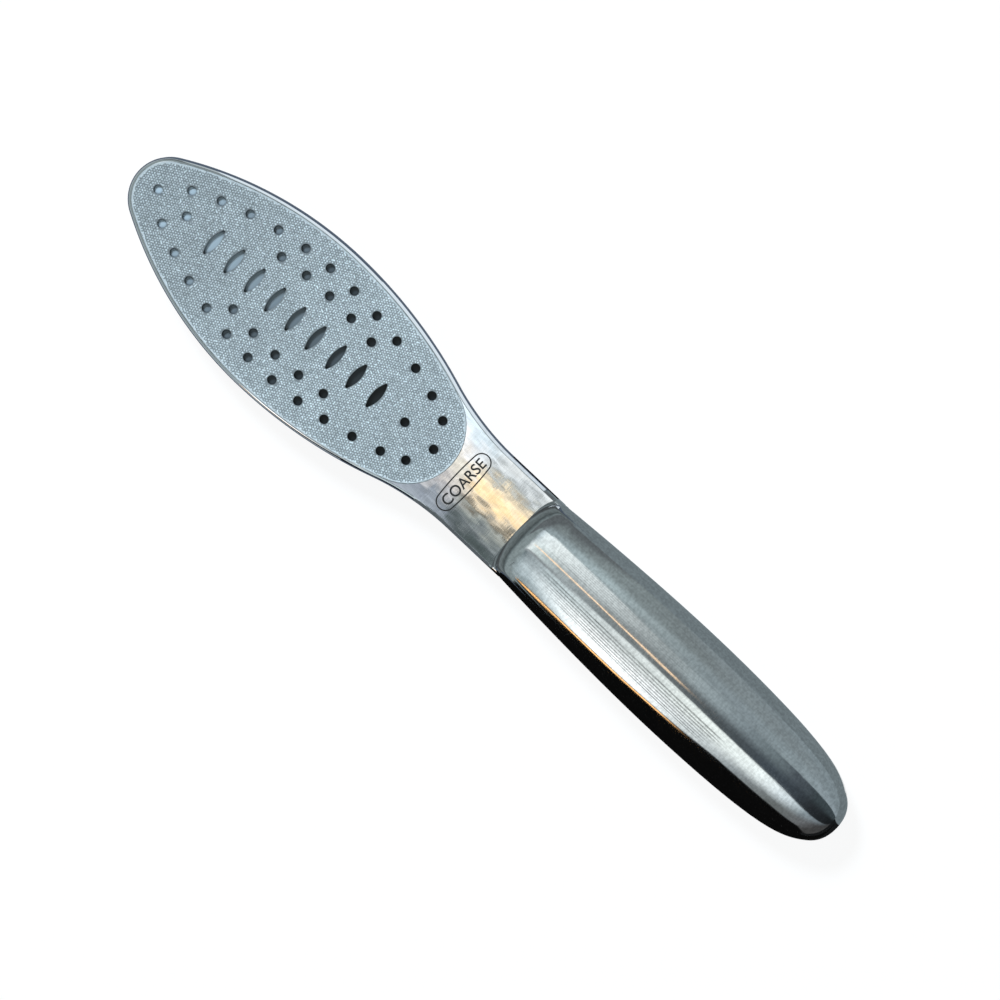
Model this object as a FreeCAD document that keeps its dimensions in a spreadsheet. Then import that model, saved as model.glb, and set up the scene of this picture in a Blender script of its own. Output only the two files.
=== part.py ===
import FreeCAD, Part
import math
import os
from types import SimpleNamespace

import Sketcher
from FreeCAD import Placement, Rotation, Vector

# Two-sided foot file: a forged blank carries a perforated abrasive plate on each face,
# and a hollow handle of two half shells is welded over the blank's neck and tang.
# Stations run along X from the tip of the head to the butt of the handle.
# The long axis of the blank is X, its width is Y, and its mid-plane is Z = 0.
# The finished pieces are then moved so that the origin is under the middle of the object.

# Driving dimensions, in millimetres.
SIZES = {
    # Whole object
    "overall_length": 250.0,
    # Head and neck of the blank, seen from above
    "tip_radius": 11.0,
    "head_width": 46.5,
    "widest_station": 57.4,
    "rear_flank_radius": 132.0,
    "neck_flank_radius": 73.4,
    "neck_width": 25.5,
    "blank_thickness": 4.8,
    "edge_round": 1.2,
    # Crown of the neck, ground up towards the handle
    "crown_start_station": 112.6,
    "crown_rise": 1.15,
    # Tang inside the handle
    "tang_width": 16.0,
    "tang_end_station": 172.0,
    # Abrasive plates and the film that bonds them
    "rim_width": 1.0,
    "plate_end_station": 112.0,
    "plate_thickness": 0.6,
    "plate_proud": 0.1,
    "plate_clearance": 0.1,
    "film_thickness": 0.15,
    "ledge_width": 1.9,
    "relief_tip_depth": 0.3,
    "relief_neck_depth": 1.3,
    # Round holes of the plates
    "hole_diameter": 2.55,
    "ring_inset": 6.2,
    "row_inset": 11.7,
    "row_start_station": 42.7,
    "row_pitch": 8.05,
    "tip_hole_station": 17.4,
    "neck_hole_station": 95.5,
    # Slots of the plates
    "slot_length": 8.2,
    "slot_width": 2.6,
    "slot_end_width": 0.9,
    "slot_start_station": 27.2,
    "slot_pitch": 7.27,
    # Handle: its form, its wall and its filling
    "nose_station": 135.8,
    "handle_width": 29.7,
    "handle_thickness": 18.4,
    "neck_end_station": 140.8,
    "handle_wall": 1.0,
    "cement_gap": 0.1,
    "cement_end_station": 166.0,
}

# Degree of the smooth curves of the handle.
SPLINE_DEGREE = 3

# Counts of what repeats.
SLOT_COUNT = 9
ROW_COUNT = 5

# Places of the outer ring's paired holes, as shares of the way from its tip hole to its neck hole.
RING_SHARES = (0.068, 0.144, 0.223, 0.306, 0.392, 0.475, 0.562, 0.650, 0.734, 0.819, 0.900, 0.966)

# The handle's profile from nose to butt: control points as shares of its length and half width.
PROFILE_SHARES = (
    (0.0, 0.26), (0.004, 0.50), (0.018, 0.84), (0.046, 0.866), (0.13, 0.905), (0.29, 0.97),
    (0.50, 1.014), (0.72, 0.975), (0.87, 0.87), (0.955, 0.67), (1.0, 0.34), (1.0, 0.0),
)

# Its section from one side over the top to the other: shares of half width and half thickness.
SECTION_SHARES = (
    (1.0, 0.0), (1.0, 0.32), (0.77, 0.85), (0.0, 1.075), (-0.77, 0.85), (-1.0, 0.32), (-1.0, 0.0),
)

size = SimpleNamespace(**SIZES)
half_blank = size.blank_thickness / 2
half_neck = size.neck_width / 2

document = FreeCAD.newDocument("FootFile")


def fill_sheet():
    """Spreadsheet with one aliased cell for each driving dimension."""
    sheet = document.addObject("Spreadsheet::Sheet", "Sizes")
    for row, (alias, value) in enumerate(SIZES.items(), start=1):
        sheet.set(f"A{row}", alias)
        sheet.set(f"B{row}", str(value))
        sheet.setAlias(f"B{row}", alias)
    document.recompute()


# Plane geometry of outlines made of arcs that run smoothly into each other.

def touching_point(centre_a, radius_a, centre_b, radius_b):
    """Point where two arcs touch, side by side or one inside the other."""
    across = centre_b - centre_a
    nested = across.Length < max(radius_a, radius_b)
    away = -1 if nested and radius_a < radius_b else 1
    return centre_a + across.normalize() * radius_a * away


def flipped(point):
    """The same point on the other side of the long axis."""
    return Vector(point.x, -point.y, point.z)


def arc_curve(start, end, centre):
    """The shorter arc about a centre from start to end."""
    outward = ((start + end) / 2 - centre).normalize()
    return Part.Arc(start, centre + outward * (start - centre).Length, end)


def line_curve(start, end):
    return Part.LineSegment(start, end)


def climb_angle(rise, run):
    """Slope of a climb, in degrees."""
    return math.degrees(math.atan2(rise, run))


# Outline of the head, and the same outline drawn a given inset inside it.

flank_drop = size.widest_station - size.tip_radius
front_flank_radius = (
    (flank_drop**2 + (size.head_width / 2) ** 2 - size.tip_radius**2)
    / (2 * (size.head_width / 2 - size.tip_radius))
)
tip_centre = Vector(size.tip_radius, 0, 0)
front_centre = Vector(size.widest_station, size.head_width / 2 - front_flank_radius, 0)
rear_centre = Vector(size.widest_station, size.head_width / 2 - size.rear_flank_radius, 0)
neck_centre_height = half_neck + size.neck_flank_radius
neck_centre_reach = (
    (size.rear_flank_radius + size.neck_flank_radius) ** 2 - (neck_centre_height - rear_centre.y) ** 2
) ** 0.5
neck_centre = Vector(size.widest_station + neck_centre_reach, neck_centre_height, 0)


def plate_loop(inset):
    """Outline of an abrasive plate, drawn inside the head's outline, with a round neck end."""
    tip_radius = size.tip_radius - inset
    front_radius = front_flank_radius - inset
    rear_radius = size.rear_flank_radius - inset
    end_station = size.plate_end_station + size.rim_width - inset
    end_reach = end_station - size.widest_station
    end_radius = (
        (rear_radius**2 - end_reach**2 - rear_centre.y**2) / (2 * (rear_radius - end_reach))
    )
    end_centre = Vector(end_station - end_radius, 0, 0)
    tip_join = touching_point(front_centre, front_radius, tip_centre, tip_radius)
    wide_join = Vector(size.widest_station, size.head_width / 2 - inset, 0)
    end_join = touching_point(rear_centre, rear_radius, end_centre, end_radius)
    return [
        arc_curve(flipped(tip_join), tip_join, tip_centre),
        arc_curve(tip_join, wide_join, front_centre),
        arc_curve(wide_join, end_join, rear_centre),
        arc_curve(end_join, flipped(end_join), end_centre),
        arc_curve(flipped(end_join), flipped(wide_join), flipped(rear_centre)),
        arc_curve(flipped(wide_join), flipped(tip_join), flipped(front_centre)),
    ]


def plate_half_width(station, inset):
    """Half a plate's width at a station, drawn in by an inset."""
    outline = Part.Wire([curve.toShape() for curve in plate_loop(inset)])
    across = line_curve(Vector(station, 0, 0), Vector(station, size.head_width, 0))
    return outline.distToShape(across.toShape())[1][0][0].y


def blank_loop():
    """Outline of the blank: head, neck, two shoulders and tang."""
    tip_join = touching_point(front_centre, front_flank_radius, tip_centre, size.tip_radius)
    wide_join = Vector(size.widest_station, size.head_width / 2, 0)
    waist_join = touching_point(
        rear_centre, size.rear_flank_radius, neck_centre, size.neck_flank_radius
    )
    neck_join = Vector(neck_centre.x, half_neck, 0)
    neck_corner = Vector(size.neck_end_station, half_neck, 0)
    tang_root = Vector(size.neck_end_station, size.tang_width / 2, 0)
    tang_corner = Vector(size.tang_end_station, size.tang_width / 2, 0)
    return [
        arc_curve(flipped(tip_join), tip_join, tip_centre),
        arc_curve(tip_join, wide_join, front_centre),
        arc_curve(wide_join, waist_join, rear_centre),
        arc_curve(waist_join, neck_join, neck_centre),
        line_curve(neck_join, neck_corner),
        line_curve(neck_corner, tang_root),
        line_curve(tang_root, tang_corner),
        line_curve(tang_corner, flipped(tang_corner)),
        line_curve(flipped(tang_corner), flipped(tang_root)),
        line_curve(flipped(tang_root), flipped(neck_corner)),
        line_curve(flipped(neck_corner), flipped(neck_join)),
        arc_curve(flipped(neck_join), flipped(waist_join), flipped(neck_centre)),
        arc_curve(flipped(waist_join), flipped(wide_join), flipped(rear_centre)),
        arc_curve(flipped(wide_join), flipped(tip_join), flipped(front_centre)),
    ]


# Sketches and features shared by the pieces.

def origin_part(body, role):
    """One of the body's own origin planes or axes."""
    return next(feature for feature in body.Origin.OriginFeatures if feature.Role == role)


def add_sketch(body, name, role="XY_Plane", height=None, offset=None):
    """Sketch on one of the body's own planes, raised by a rule or moved by an offset."""
    sketch = body.newObject("Sketcher::SketchObject", name)
    sketch.AttachmentSupport = [(origin_part(body, role), "")]
    sketch.MapMode = "FlatFace"
    if offset:
        sketch.AttachmentOffset = offset
    if height:
        sketch.setExpression("AttachmentOffset.Base.z", height)
    return sketch


def bind(sketch, constraint, name, rule):
    """Add a named dimension whose value follows a rule written with the sheet's cells."""
    sketch.renameConstraint(sketch.addConstraint(constraint), name)
    sketch.setExpression(f"Constraints.{name}", rule)


def close_loop(sketch, curves):
    """Hold together the ends at which each curve of a closed outline meets the next."""
    def gap(curve, end, follower, start):
        return sketch.getPoint(curve, end).distanceToPoint(sketch.getPoint(follower, start))

    for curve, follower in zip(curves, curves[1:] + curves[:1]):
        ends = [(end, start) for end in (1, 2) for start in (1, 2)]
        end, start = min(ends, key=lambda pair: gap(curve, pair[0], follower, pair[1]))
        sketch.addConstraint(Sketcher.Constraint("Coincident", curve, end, follower, start))


def draw_loop(sketch, curves, bound_radii):
    """Draw a closed outline and bind the radii given as (curve number, name, rule)."""
    numbers = [sketch.addGeometry(curve, False) for curve in curves]
    close_loop(sketch, numbers)
    for number, name, rule in bound_radii:
        curve = numbers[number]
        radius = Sketcher.Constraint("Radius", curve, sketch.Geometry[curve].Radius)
        bind(sketch, radius, name, rule)


def plate_radii(inset_rule, label=""):
    """Bound radii of an outline made by plate_loop."""
    return [
        (0, f"tip{label}", f"Sizes.tip_radius - ({inset_rule})"),
        (2, f"flank{label}", f"Sizes.rear_flank_radius - ({inset_rule})"),
        (4, f"other_flank{label}", f"Sizes.rear_flank_radius - ({inset_rule})"),
    ]


def set_in_place(piece):
    """Move a piece so that the origin lies under the middle of the whole object."""
    piece.setExpression("Placement.Base.x", "-Sizes.overall_length / 2")
    piece.setExpression("Placement.Base.z", "Sizes.handle_thickness / 2")


def new_body(label):
    body = document.addObject("PartDesign::Body", label)
    set_in_place(body)
    return body


def add_pad(body, name, sketch, length_rule, way="One side", downward=False):
    pad = body.newObject("PartDesign::Pad", name)
    pad.Profile = sketch
    pad.SideType = way
    pad.Reversed = downward
    pad.setExpression("Length", length_rule)
    document.recompute()
    return pad


def add_pocket(body, name, sketch, length_rule, upward=False, direction=None):
    """Pocket, checked to have taken material away."""
    before = body.Shape.Volume
    pocket = body.newObject("PartDesign::Pocket", name)
    pocket.Profile = sketch
    pocket.Reversed = upward
    if direction:
        pocket.UseCustomVector = True
        pocket.Direction = direction
    pocket.setExpression("Length", length_rule)
    document.recompute()
    assert body.Shape.Volume < before, f"{name} took nothing away"
    return pocket


# Heights above the mid-plane, and insets from the head's outline, of what lies in each face.
PLATE_HEIGHT = "Sizes.blank_thickness / 2 + Sizes.plate_proud - Sizes.plate_thickness"
SEAT_HEIGHT = f"{PLATE_HEIGHT} - Sizes.film_thickness"
SEAT_INSET = "Sizes.rim_width"
PLATE_INSET = f"{SEAT_INSET} + Sizes.plate_clearance"
RELIEF_INSET = f"{PLATE_INSET} + Sizes.ledge_width"
seat_height = half_blank + size.plate_proud - size.plate_thickness - size.film_thickness
plate_inset = size.rim_width + size.plate_clearance
relief_inset = plate_inset + size.ledge_width


def build_blank():
    """Forged blank: rounded edges, crowned neck, and a stepped seat in each face."""
    body = new_body("head_blank")
    outline = add_sketch(body, "BlankOutline")
    draw_loop(outline, blank_loop(), [
        (0, "tip", "Sizes.tip_radius"),
        (2, "rear_flank", "Sizes.rear_flank_radius"),
        (3, "neck_flank", "Sizes.neck_flank_radius"),
        (11, "other_neck_flank", "Sizes.neck_flank_radius"),
        (12, "other_rear_flank", "Sizes.rear_flank_radius"),
    ])
    slab = add_pad(body, "BlankSlab", outline, "Sizes.blank_thickness", way="Symmetric")
    round_edges(body, slab)
    crown = add_crown(body)
    seat = add_sketch(body, "SeatOutline", height=SEAT_HEIGHT)
    draw_loop(seat, plate_loop(size.rim_width), plate_radii(SEAT_INSET))
    seat_pocket = add_pocket(body, "PlateSeat", seat, "Sizes.blank_thickness / 2", upward=True)
    relief_pocket = add_relief(body)

    mirrored = body.newObject("PartDesign::Mirrored", "OtherFace")
    mirrored.Originals = [crown, seat_pocket, relief_pocket]
    mirrored.MirrorPlane = (origin_part(body, "XY_Plane"), [""])
    body.Tip = mirrored
    document.recompute()
    return body


def round_edges(body, slab):
    """Round the edges of both faces from the tip to the end of the neck."""
    rounded = body.newObject("PartDesign::Fillet", "RoundedEdges")
    rims = [
        f"Edge{number}" for number, edge in enumerate(slab.Shape.Edges, start=1)
        if edge.BoundBox.ZLength < half_blank
        and edge.BoundBox.XMin < size.neck_end_station - size.edge_round
    ]
    rounded.Base = (slab, rims)
    rounded.setExpression("Radius", "Sizes.edge_round")
    document.recompute()


def add_crown(body):
    """Crown of the neck: a round-topped bar that climbs out of the face towards the handle."""
    half_chord = half_neck - size.edge_round
    run = size.neck_end_station - size.crown_start_station
    lean = Rotation(Vector(1, 0, 0), -climb_angle(size.crown_rise, run))
    section = add_sketch(body, "CrownSection", role="YZ_Plane", offset=Placement(
        Vector(0, half_blank, size.neck_end_station), lean
    ))
    left, right = Vector(-half_chord, 0, 0), Vector(half_chord, 0, 0)
    root = Vector(0, -half_blank, 0)
    top = Vector(0, size.crown_rise, 0)
    curves = [
        Part.Arc(left, top, right),
        line_curve(right, right + root),
        line_curve(right + root, left + root),
        line_curve(left + root, left),
    ]
    draw_loop(section, curves, [])
    length = "Sizes.neck_end_station - Sizes.crown_start_station + Sizes.edge_round"
    return add_pad(body, "NeckCrown", section, length, downward=True)


def add_relief(body):
    """Hollow under the perforated part of a plate, whose floor falls towards the neck."""
    fall = size.relief_neck_depth - size.relief_tip_depth
    run = size.plate_end_station + size.rim_width - 2 * relief_inset
    floor_at_tip = seat_height - size.relief_tip_depth + fall / run * relief_inset
    floor = Placement(
        Vector(0, 0, floor_at_tip), Rotation(Vector(0, 1, 0), climb_angle(fall, run))
    )
    outline = add_sketch(body, "ReliefOutline", offset=floor)
    draw_loop(outline, plate_loop(relief_inset), plate_radii(RELIEF_INSET))
    return add_pocket(
        body, "ReliefHollow", outline, "Sizes.blank_thickness / 2", upward=False,
        direction=Vector(0, 0, 1),
    )


def build_plate(label, side):
    """Perforated abrasive plate, flush with the rim, on one side of the blank."""
    body = new_body(label)
    height = f"{side} * ({PLATE_HEIGHT})"
    outline = add_sketch(body, f"{label}Outline", height=height)
    draw_loop(outline, plate_loop(plate_inset), plate_radii(PLATE_INSET))
    add_pad(body, f"{label}Sheet", outline, "Sizes.plate_thickness", downward=side < 0)

    holes = add_sketch(body, f"{label}Holes", height=height)
    for number, centre in enumerate(hole_centres(), start=1):
        circle = holes.addGeometry(Part.Circle(centre, Vector(0, 0, 1), size.hole_diameter / 2), False)
        bind(holes, Sketcher.Constraint("Diameter", circle, size.hole_diameter), f"hole{number}",
             "Sizes.hole_diameter")
    through = "Sizes.plate_thickness * 2"
    add_pocket(body, f"{label}RoundHoles", holes, through, upward=side > 0)

    slot = add_sketch(body, f"{label}Slot", height=height)
    draw_loop(slot, slot_loop(), [(1, "slot_end", "Sizes.slot_end_width / 2")])
    slot_pocket = add_pocket(body, f"{label}FirstSlot", slot, through, upward=side > 0)
    pattern = body.newObject("PartDesign::LinearPattern", f"{label}Slots")
    pattern.Originals = [slot_pocket]
    pattern.Direction = (origin_part(body, "X_Axis"), [""])
    pattern.Mode = "Spacing"
    pattern.Occurrences = SLOT_COUNT
    pattern.setExpression("Offset", "Sizes.slot_pitch")
    body.Tip = pattern
    document.recompute()
    return body


def hole_centres():
    """Centres of a plate's round holes: the outer ring, the two inner rows and two single holes."""
    ring_inset = size.rim_width + size.ring_inset
    row_inset = size.rim_width + size.row_inset
    ring_start = ring_inset
    ring_end = size.plate_end_station - size.ring_inset
    stations = [ring_start + share * (ring_end - ring_start) for share in RING_SHARES]
    rows = [size.row_start_station + step * size.row_pitch for step in range(ROW_COUNT)]
    upper = [Vector(station, plate_half_width(station, ring_inset), 0) for station in stations]
    upper += [Vector(station, plate_half_width(station, row_inset), 0) for station in rows]
    on_axis = [ring_start, ring_end, size.tip_hole_station, size.neck_hole_station]
    return upper + [flipped(centre) for centre in upper] + [Vector(x, 0, 0) for x in on_axis]


def slot_loop():
    """Slot across the plate: two bowed sides and two small round ends."""
    middle = Vector(size.slot_start_station, 0, 0)
    side = Vector(size.slot_width / 2, 0, 0)
    end_radius = size.slot_end_width / 2
    corner = Vector(end_radius, size.slot_length / 2 - end_radius, 0)
    tip = Vector(0, size.slot_length / 2, 0)
    mirror = Vector(-corner.x, corner.y, 0)
    return [
        Part.Arc(middle + flipped(corner), middle + side, middle + corner),
        Part.Arc(middle + corner, middle + tip, middle + mirror),
        Part.Arc(middle + mirror, middle - side, middle + flipped(mirror)),
        Part.Arc(middle + flipped(mirror), middle - tip, middle + flipped(corner)),
    ]


def build_film(label, side):
    """Bonding film between a plate's margin and the ledge of its seat."""
    body = new_body(label)
    ring = add_sketch(body, f"{label}Ring", height=f"{side} * ({SEAT_HEIGHT})")
    draw_loop(ring, plate_loop(plate_inset), plate_radii(PLATE_INSET))
    draw_loop(ring, plate_loop(relief_inset), plate_radii(RELIEF_INSET, "_inner"))
    add_pad(body, f"{label}Layer", ring, "Sizes.film_thickness", downward=side < 0)
    return body


def spline_knots(count, degree):
    """Even knots, and how often each counts, of a clamped curve with so many control points."""
    spans = count - degree
    knots = [span / spans for span in range(spans + 1)]
    return knots, [degree + 1] + [1] * (spans - 1) + [degree + 1]


def handle_surface(inset, side):
    """Smooth skin over one side of the handle, drawn inside its outer form by an inset."""
    length = size.overall_length - size.nose_station - 2 * inset
    half_width = size.handle_width / 2 - inset
    half_height = size.handle_thickness / 2 - inset
    poles = [
        [
            Vector(
                size.nose_station + inset + along * length,
                reach * across * half_width,
                side * reach * up * half_height,
            )
            for across, up in SECTION_SHARES
        ]
        for along, reach in PROFILE_SHARES
    ]
    along_knots, along_counts = spline_knots(len(PROFILE_SHARES), SPLINE_DEGREE)
    across_knots, across_counts = spline_knots(len(SECTION_SHARES), SPLINE_DEGREE)
    surface = Part.BSplineSurface()
    surface.buildFromPolesMultsKnots(
        poles, along_counts, across_counts, along_knots, across_knots, False, False,
        SPLINE_DEGREE, SPLINE_DEGREE,
    )
    return surface


def handle_form(name, inset, side):
    """Half of the handle's form: its skin, closed by the mid-plane and by a small nose face."""
    surface = handle_surface(inset, side)
    right, left = surface.vIso(0), surface.vIso(1)
    nose = surface.uIso(0)
    nose_chord = line_curve(nose.StartPoint, nose.EndPoint).toShape()
    flat = Part.Face(Part.Wire([nose_chord, left.toShape(), right.toShape()]))
    front = Part.Face(Part.Wire([nose_chord, nose.toShape()]))
    skin = Part.Shell([surface.toShape(), flat, front])
    skin.sewShape()
    form = document.addObject("Part::Feature", name)
    form.Shape = Part.Solid(skin)
    return form


def cut_away(label, base, tool):
    """Base with the tool's form taken out of it."""
    cut = document.addObject("Part::Cut", label)
    cut.Base = base
    cut.Tool = tool
    document.recompute()
    return cut


def build_shell(label, side, blank):
    """Half shell of the handle, let in over the blank's neck."""
    form = handle_form(f"{label}_form", 0, side)
    hollow = handle_form(f"{label}_hollow", size.handle_wall, side)
    wall = cut_away(f"{label}_wall", form, hollow)
    set_in_place(wall)
    return cut_away(label, wall, blank)


def build_cement(label, blank):
    """Filling that holds the tang inside the handle's front half."""
    inset = size.handle_wall + size.cement_gap
    halves = document.addObject("Part::Fuse", f"{label}_form")
    halves.Base = handle_form(f"{label}_upper_form", inset, 1)
    halves.Tool = handle_form(f"{label}_lower_form", inset, -1)
    span = document.addObject("Part::Box", f"{label}_span")
    span.setExpression("Length", "Sizes.cement_end_station - Sizes.neck_end_station")
    span.setExpression("Width", "Sizes.handle_width")
    span.setExpression("Height", "Sizes.handle_thickness")
    span.setExpression("Placement.Base.x", "Sizes.neck_end_station")
    span.setExpression("Placement.Base.y", "-Sizes.handle_width / 2")
    span.setExpression("Placement.Base.z", "-Sizes.handle_thickness / 2")
    filling = document.addObject("Part::Common", f"{label}_filling")
    filling.Base = halves
    filling.Tool = span
    set_in_place(filling)
    return cut_away(label, filling, blank)


def check_and_write(pieces):
    """Stop if any object failed or any piece is not a sound solid, then write one file a piece."""
    document.recompute()
    failed = [item.Name for item in document.Objects if {"Invalid", "Error"} & set(item.State)]
    assert not failed, f"objects that failed: {failed}"
    for piece in pieces:
        shape = piece.Shape
        assert not shape.isNull() and shape.isValid() and shape.Solids, f"{piece.Label} is not sound"
    os.makedirs("parts", exist_ok=True)
    for piece in pieces:
        piece.Shape.exportStep(f"parts/{piece.Label}.step")
        print(f"{piece.Label}: {len(piece.Shape.Solids)} solid, {piece.Shape.Volume:.1f} cubic mm")


fill_sheet()
head_blank = build_blank()
pieces = [head_blank]
for face, side in (("coarse", 1), ("fine", -1)):
    pieces.append(build_plate(f"{face}_plate", side))
    pieces.append(build_film(f"{face}_bond_film", side))
for face, side in (("front", 1), ("back", -1)):
    pieces.append(build_shell(f"handle_{face}_shell", side, head_blank))
pieces.append(build_cement("tang_cement", head_blank))
check_and_write(pieces)
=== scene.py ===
import math

import bmesh
import bpy
import numpy as np
from mathutils import Matrix, Vector
from mathutils.bvhtree import BVHTree
from mathutils.geometry import delaunay_2d_cdt
from mathutils.kdtree import KDTree


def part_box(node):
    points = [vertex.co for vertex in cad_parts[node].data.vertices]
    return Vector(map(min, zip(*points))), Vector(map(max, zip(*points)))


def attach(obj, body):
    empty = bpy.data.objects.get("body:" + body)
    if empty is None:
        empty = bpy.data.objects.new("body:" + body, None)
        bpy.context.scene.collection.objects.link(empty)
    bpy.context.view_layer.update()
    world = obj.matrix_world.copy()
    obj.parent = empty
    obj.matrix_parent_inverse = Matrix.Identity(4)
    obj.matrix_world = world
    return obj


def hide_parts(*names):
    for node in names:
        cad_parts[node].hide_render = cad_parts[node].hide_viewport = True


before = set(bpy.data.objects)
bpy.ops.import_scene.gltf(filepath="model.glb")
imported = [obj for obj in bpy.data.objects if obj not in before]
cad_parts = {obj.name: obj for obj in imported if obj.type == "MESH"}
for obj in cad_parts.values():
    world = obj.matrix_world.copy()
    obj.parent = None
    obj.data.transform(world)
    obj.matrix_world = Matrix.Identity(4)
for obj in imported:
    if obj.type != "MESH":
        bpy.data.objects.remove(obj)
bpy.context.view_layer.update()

# Looks of a two-sided foot file of steel: toothed plates, polished neck, brushed handle.
# Lengths are in metres. +X runs from the head's tip to the handle's butt, +Z out of the coarse face.

MILLIMETRE = 0.001
UP, DOWN = 1, -1
ROOT = "root"
SEED = 11
# How far the corners of a flat face may lie off its height.
FLATNESS = 0.01 * MILLIMETRE

# Teeth of the plates: how far apart their grid's points are, and how deep the valleys.
COARSE_SPACING, COARSE_DEPTH = 0.42 * MILLIMETRE, 0.20 * MILLIMETRE
FINE_SPACING, FINE_DEPTH = 0.32 * MILLIMETRE, 0.12 * MILLIMETRE
TOOTH_JITTER_SHARE = 0.28
BORDER_WIDTH = 0.24 * MILLIMETRE
BORDER_ROW_SHARES = (0.4, 1)
# How far the tops, the valleys and the edges lie under the plate's face, as shares of the depth.
TOP_SHARES, VALLEY_SHARES = (0, 0.35), (0.75, 1)
OUTER_EDGE_SHARE, HOLE_EDGE_SHARE = 0.4, 0.9
# Distances on a plate, as shares of the spacing: the longest edge and the clearance from outlines.
LONGEST_EDGE_SHARE, CLEAR_SHARE = 1.5, 0.6

# The head's outline, as in the part's source: arcs that run smoothly into each other.
HEAD_WIDTH, NECK_WIDTH = 46.5 * MILLIMETRE, 25.5 * MILLIMETRE
TIP_RADIUS, REAR_FLANK_RADIUS = 11.0 * MILLIMETRE, 132.0 * MILLIMETRE
NECK_FLANK_RADIUS = 73.4 * MILLIMETRE
WIDEST_STATION = 57.4 * MILLIMETRE
RIM_WIDTH, EDGE_ROUND = 1.0 * MILLIMETRE, 1.2 * MILLIMETRE
RIM_PROUD, HOLLOW_FLANK_PROUD = 0.015 * MILLIMETRE, 0.09 * MILLIMETRE
ARC_STEPS, ROUND_STEPS = 48, 9
SHARP_ANGLE, RIM_SHARP_ANGLE = 60, 40

# The handle's form, as in the part's source: control points of its profile, as shares of its length
# and half width, and of its section, as shares of half width and half thickness.
SPLINE_DEGREE = 3
PROFILE_SHARES = (
    (0.0, 0.26), (0.004, 0.50), (0.018, 0.84), (0.046, 0.866), (0.13, 0.905), (0.29, 0.97),
    (0.50, 1.014), (0.72, 0.975), (0.87, 0.87), (0.955, 0.67), (1.0, 0.34), (1.0, 0.0),
)
SECTION_SHARES = (
    (1.0, 0.0), (1.0, 0.32), (0.77, 0.85), (0.0, 1.075), (-0.77, 0.85), (-1.0, 0.32), (-1.0, 0.0),
)
NOSE_STATION = 135.8 * MILLIMETRE
NECK_END_STATION = 140.8 * MILLIMETRE
HANDLE_WALL = 1.0 * MILLIMETRE
HANDLE_RINGS, HANDLE_COLUMNS = 260, 121
HIDDEN_DEPTH = 0.08 * MILLIMETRE

head_low, head_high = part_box("head_blank")
shell_low, shell_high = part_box("handle_front_shell")
mid_plane = shell_low.z
plate_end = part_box("coarse_plate")[1].x
nose = head_low.x + NOSE_STATION
neck_end = head_low.x + NECK_END_STATION
butt = shell_high.x
face_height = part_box("coarse_plate")[1].z

# The neck's faces fall toward the nose and are crowned: slope, and slope gained per metre aside.
NECK_FALL = 0.041
NECK_CROWN = 16.8

# The label on the neck: a word in a long rounded outline, laid across.
MARK_PROUD = 0.012 * MILLIMETRE
LABEL_PLACE = Vector((plate_end + 5.4 * MILLIMETRE, -0.8 * MILLIMETRE))
LABEL_HALF_LENGTH = 9.55 * MILLIMETRE
LABEL_END_RADIUS = 2.62 * MILLIMETRE
LABEL_BULGE = 0.32 * MILLIMETRE
LABEL_LINE = 0.36 * MILLIMETRE
LETTER_HEIGHT = 2.9 * MILLIMETRE
LETTER_STEP = 2.5 * MILLIMETRE
LETTER_BOLDNESS = 0.014
FINEST_EDGE = 0.4 * MILLIMETRE
ARC_FACES, SIDE_FACES = 24, 20
# How far from the mid plane the rays start that lay the label on the neck.
RAY_START = 20 * MILLIMETRE


# Node trees.

NOISE_LOW, NOISE_HIGH = 0.3, 0.7


def connect(tree, node, inputs):
    """Set a node's inputs to values, or link them to other nodes' outputs."""
    for name, value in dict(inputs).items():
        socket = node.inputs[name]
        if isinstance(value, bpy.types.NodeSocket):
            tree.links.new(value, socket)
        elif socket.type == "RGBA":
            socket.default_value = (*value, 1.0)
        else:
            socket.default_value = value


def add_node(tree, kind, inputs=(), **settings):
    """Node with its settings and its inputs."""
    node = tree.nodes.new(kind)
    for name, value in settings.items():
        setattr(node, name, value)
    connect(tree, node, inputs)
    return node


def calculate(tree, operation, *values):
    """Result of a sum or another operation on numbers."""
    return add_node(tree, "ShaderNodeMath", enumerate(values), operation=operation).outputs[0]


def product(tree, first, *others):
    """Product of numbers."""
    for other in others:
        first = calculate(tree, "MULTIPLY", first, other)
    return first


def axes_of(tree, vector):
    """X, Y and Z of a vector."""
    return add_node(tree, "ShaderNodeSeparateXYZ", {0: vector}).outputs


def remap(tree, value, low, high, new_low=0.0, new_high=1.0, smooth=True):
    """Value carried over from one range to another, and kept inside it."""
    node = add_node(
        tree, "ShaderNodeMapRange", {0: value, 1: low, 2: high, 3: new_low, 4: new_high},
        interpolation_type="SMOOTHSTEP" if smooth else "LINEAR",
    )
    return node.outputs[0]


def between(tree, share, low, high, smooth=True):
    """Value that goes from low to high as a share goes from 0 to 1."""
    return remap(tree, share, 0.0, 1.0, low, high, smooth)


def window(tree, value, low, high, soft):
    """One between low and high, nothing outside, with soft edges."""
    rise = remap(tree, value, low - soft, low + soft)
    fall = remap(tree, value, high - soft, high + soft, 1.0, 0.0)
    return product(tree, rise, fall)


def blend_colours(tree, share, first, second, way="MIX"):
    """First colour, covered by a share of the second."""
    node = add_node(
        tree, "ShaderNodeMix", {0: share, 6: first, 7: second}, data_type="RGBA", blend_type=way
    )
    return node.outputs[2]


def tinted(tree, colour, shade):
    """Colour made lighter or darker by a factor."""
    return blend_colours(tree, 1.0, colour, shade, "MULTIPLY")


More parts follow.
